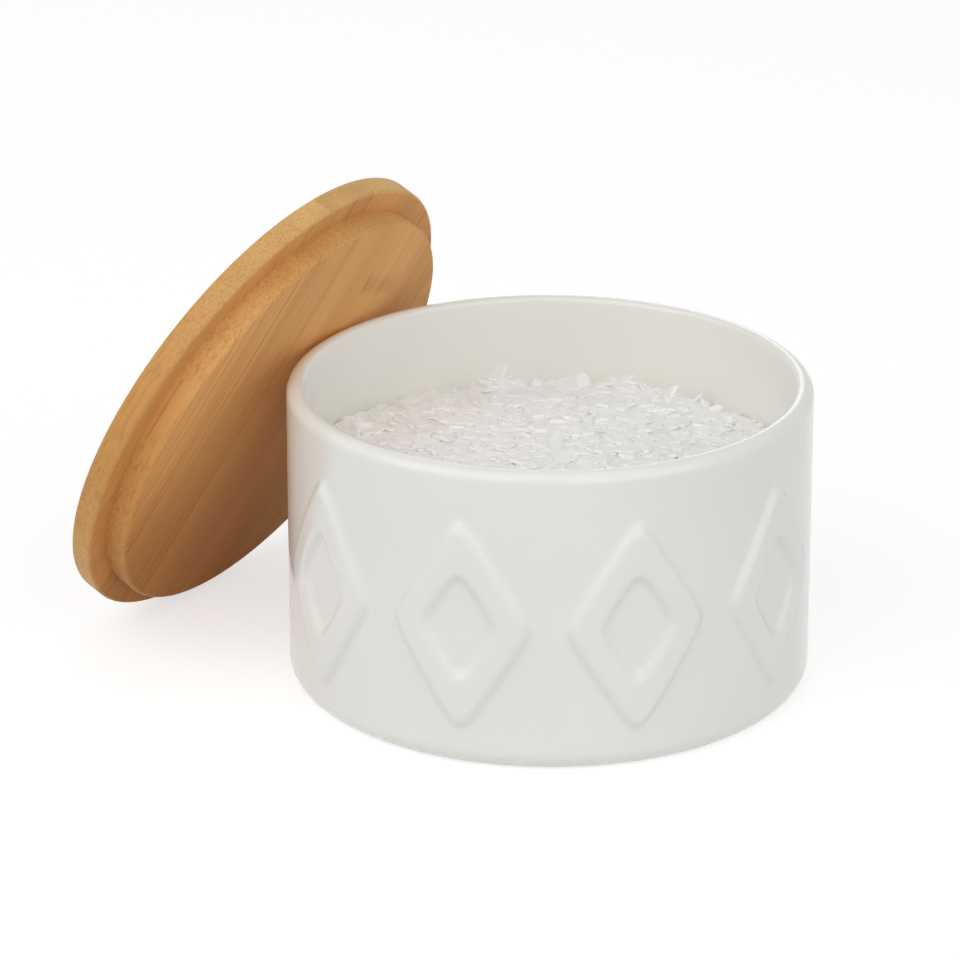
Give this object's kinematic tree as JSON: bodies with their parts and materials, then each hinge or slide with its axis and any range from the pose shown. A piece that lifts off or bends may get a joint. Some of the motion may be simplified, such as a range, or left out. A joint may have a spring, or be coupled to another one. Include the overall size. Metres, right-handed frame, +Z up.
{
  "type": "salt bowl with loose lid",
  "caption": "Round glazed ceramic salt bowl filled with flaky salt, with a loose plug-fit bamboo lid leaning against its rim.",
  "frame": {"origin": "centre of the bowl's foot ring, on the surface that it stands on", "axes": "+Z up along the bowl's axis; -Y towards the front, where the raised lozenges are; the lid leans at the back left"},
  "size_m": [0.177, 0.155, 0.1138],
  "materials": {
    "glazed_bowl": "gloss",
    "salt": "matte",
    "bamboo_light": "satin",
    "bamboo_mid": "satin",
    "bamboo_dark": "satin"
  },
  "bodies": {
    "bowl": {"bowl": "glazed_bowl", "salt": "salt"},
    "lid": {"lid_top_strip_1": "bamboo_light", "lid_top_strip_2": "bamboo_dark", "lid_top_strip_3": "bamboo_mid", "lid_top_strip_4": "bamboo_light", "lid_top_strip_5": "bamboo_dark", "lid_top_strip_6": "bamboo_mid", "lid_top_strip_7": "bamboo_light", "lid_plug_strip_1": "bamboo_dark", "lid_plug_strip_2": "bamboo_mid", "lid_plug_strip_3": "bamboo_light", "lid_plug_strip_4": "bamboo_dark", "lid_plug_strip_5": "bamboo_mid", "lid_plug_strip_6": "bamboo_light"}
  },
  "joints": [
    {"name": "lid_lift", "type": "slide", "parent": "bowl", "child": "lid", "axis": [0, 0, 1], "range_m": [0, 0.12]}
  ]
}
